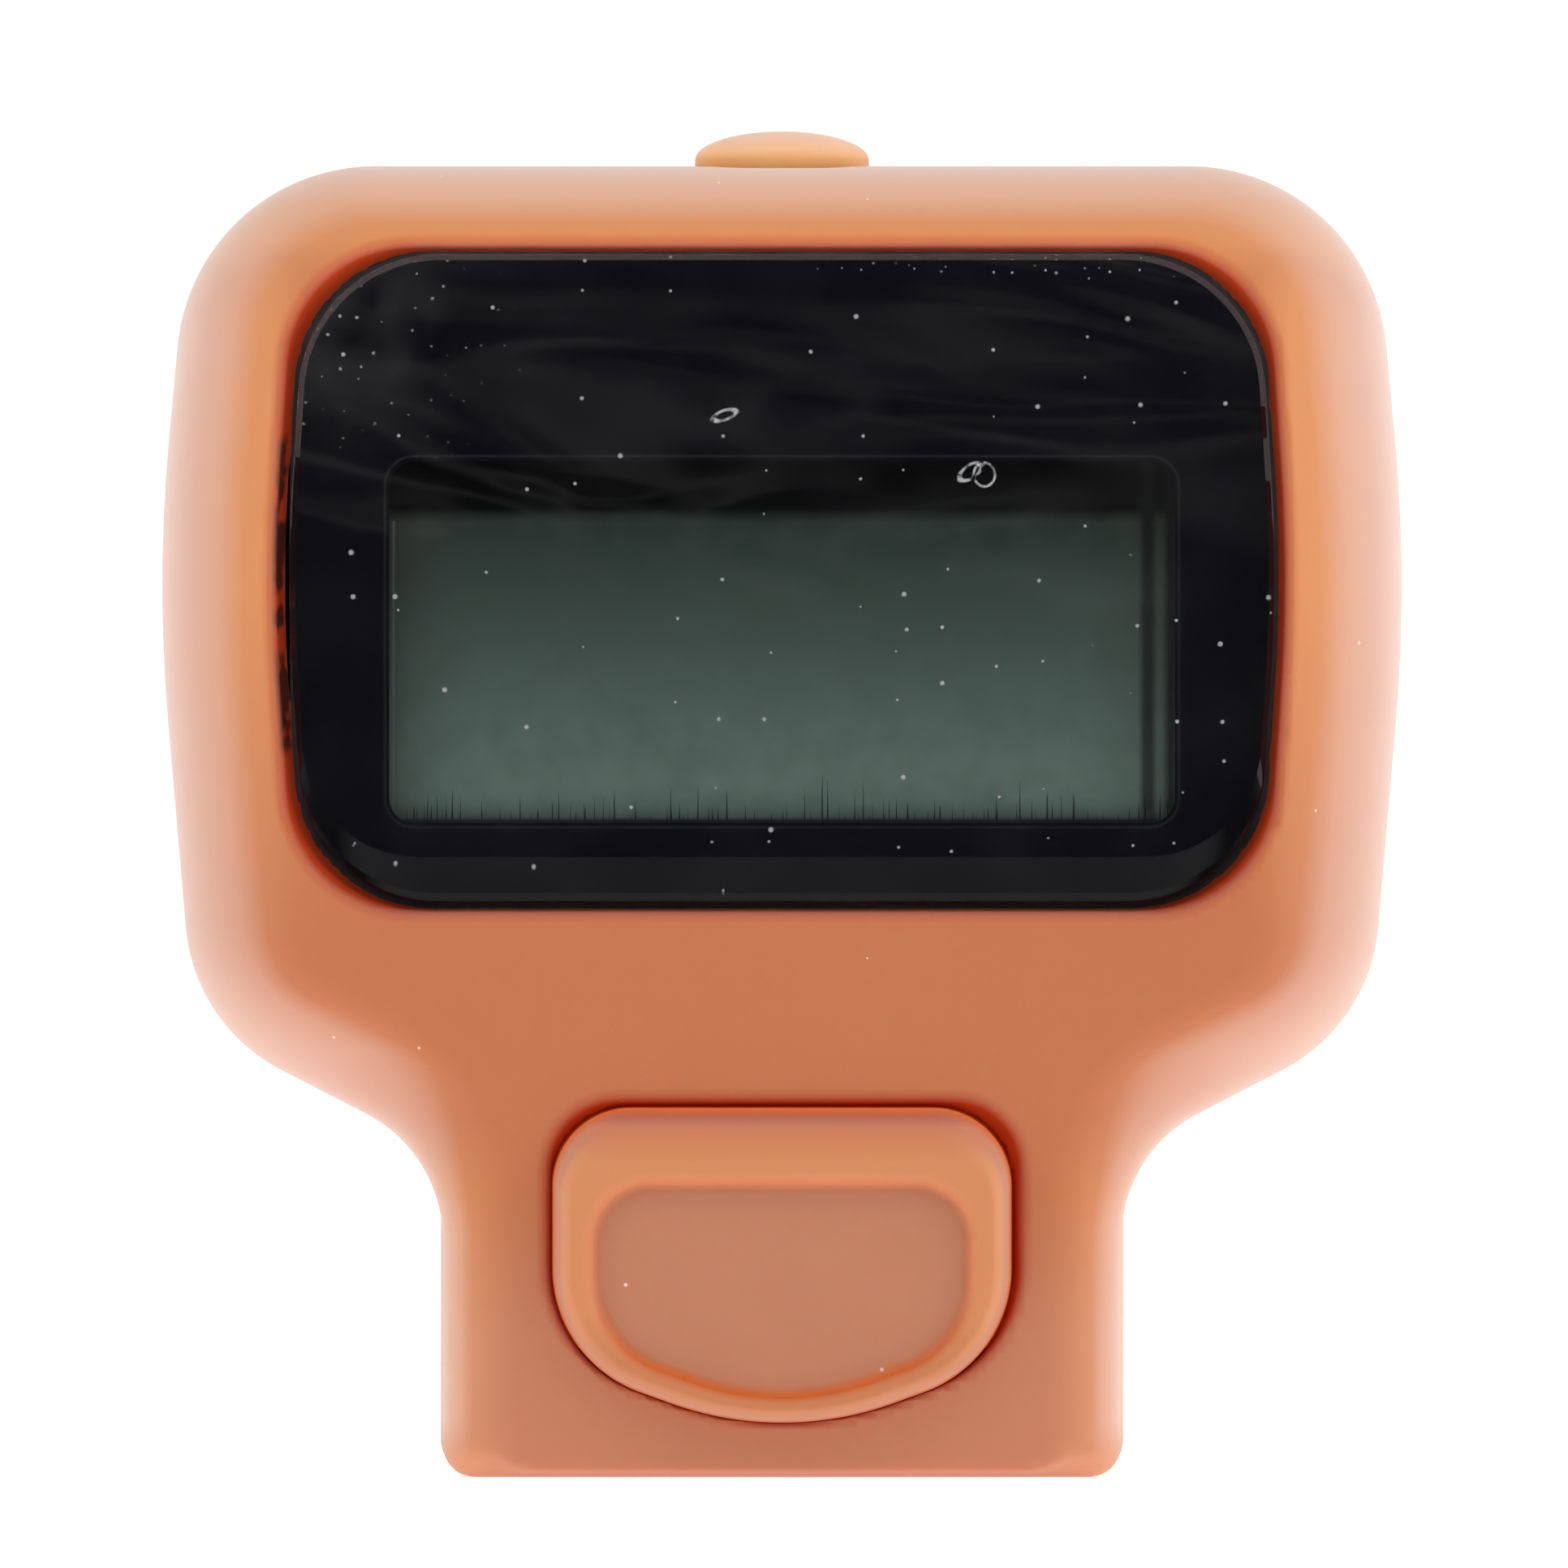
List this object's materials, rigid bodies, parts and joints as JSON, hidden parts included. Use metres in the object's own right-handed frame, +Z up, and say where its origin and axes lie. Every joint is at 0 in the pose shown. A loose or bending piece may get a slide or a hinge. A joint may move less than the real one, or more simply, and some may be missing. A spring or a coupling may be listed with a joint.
{
  "type": "finger tally counter",
  "caption": "Digital finger tally counter: an electronic display with a thumb key and a reset nub in a soft sleeve with a finger ring.",
  "frame": {"origin": "under the middle of the overall size, on the plane that the neck and the finger ring stand on", "axes": "+Z up from the count key to the display, the display and key face -Y, +X to the right as seen from the front, the finger passes through the ring along Z"},
  "size_m": [0.035, 0.0284, 0.0379],
  "materials": {
    "silicone": "matt moulded silicone, salmon",
    "key_plastic": "matt moulded, salmon to match the sleeve",
    "case_plastic": "fine-textured black moulding",
    "lens_acrylic": "polished clear acrylic",
    "black_film": "black film",
    "polariser_film": "grey-green film",
    "display_glass": "thin display glass",
    "elastomer": "layered silicone connector",
    "board_laminate": "green solder mask",
    "epoxy": "black epoxy",
    "nickel_steel": "nickel-plated steel",
    "chip_ceramic": "matt ceramic",
    "switch_plastic": "black moulding",
    "nylon": "natural nylon",
    "screw_steel": "zinc-plated steel"
  },
  "bodies": {
    "case": {"silicone_sleeve": "silicone", "front_frame": "case_plastic", "rear_cover": "case_plastic", "display_lens": "lens_acrylic", "lens_mask": "black_film", "front_polariser": "polariser_film", "lcd_front_glass": "display_glass", "lcd_rear_glass": "display_glass", "rear_polariser": "polariser_film", "zebra_strip": "elastomer", "circuit_board": "board_laminate", "chip_blob": "epoxy", "clock_crystal": "nickel_steel", "capacitor_left": "chip_ceramic", "capacitor_right": "chip_ceramic", "pull_up_resistor": "epoxy", "count_switch_body": "switch_plastic", "reset_switch_body": "switch_plastic", "cell_can": "nickel_steel", "cell_gasket": "nylon", "cell_cap": "nickel_steel", "battery_positive_contact": "nickel_steel", "battery_negative_contact": "nickel_steel", "case_screw_1": "screw_steel", "case_screw_2": "screw_steel", "case_screw_3": "screw_steel", "case_screw_4": "screw_steel"},
    "count_key": {"count_button": "key_plastic"},
    "count_plunger": {"count_switch_plunger": "nylon"},
    "reset_nub": {"reset_button": "key_plastic"},
    "reset_plunger": {"reset_switch_plunger": "nylon"},
    "door": {"battery_door": "case_plastic"}
  },
  "joints": [
    {"name": "count_press", "type": "slide", "parent": "case", "child": "count_key", "axis": [0, 1, 0], "range_m": [0, 0.0005], "stiffness_N_per_m": 1500, "springref_m": -0.0003},
    {"name": "count_plunger_press", "type": "slide", "parent": "case", "child": "count_plunger", "axis": [0, 1, 0], "range_m": [0, 0.0005]},
    {"name": "reset_press", "type": "slide", "parent": "case", "child": "reset_nub", "axis": [0, 0, -1], "range_m": [0, 0.0004], "stiffness_N_per_m": 1500, "springref_m": -0.0003},
    {"name": "reset_plunger_press", "type": "slide", "parent": "case", "child": "reset_plunger", "axis": [0, 0, -1], "range_m": [0, 0.0004]},
    {"name": "door_turn", "type": "hinge", "parent": "case", "child": "door", "pos_m": [0, -0.003, 0.0228], "axis": [0, 1, 0], "range_deg": [0, 45]}
  ],
  "couplings": [
    {"joint": "count_plunger_press", "follows": "count_press", "ratio": 1},
    {"joint": "reset_plunger_press", "follows": "reset_press", "ratio": 1}
  ]
}
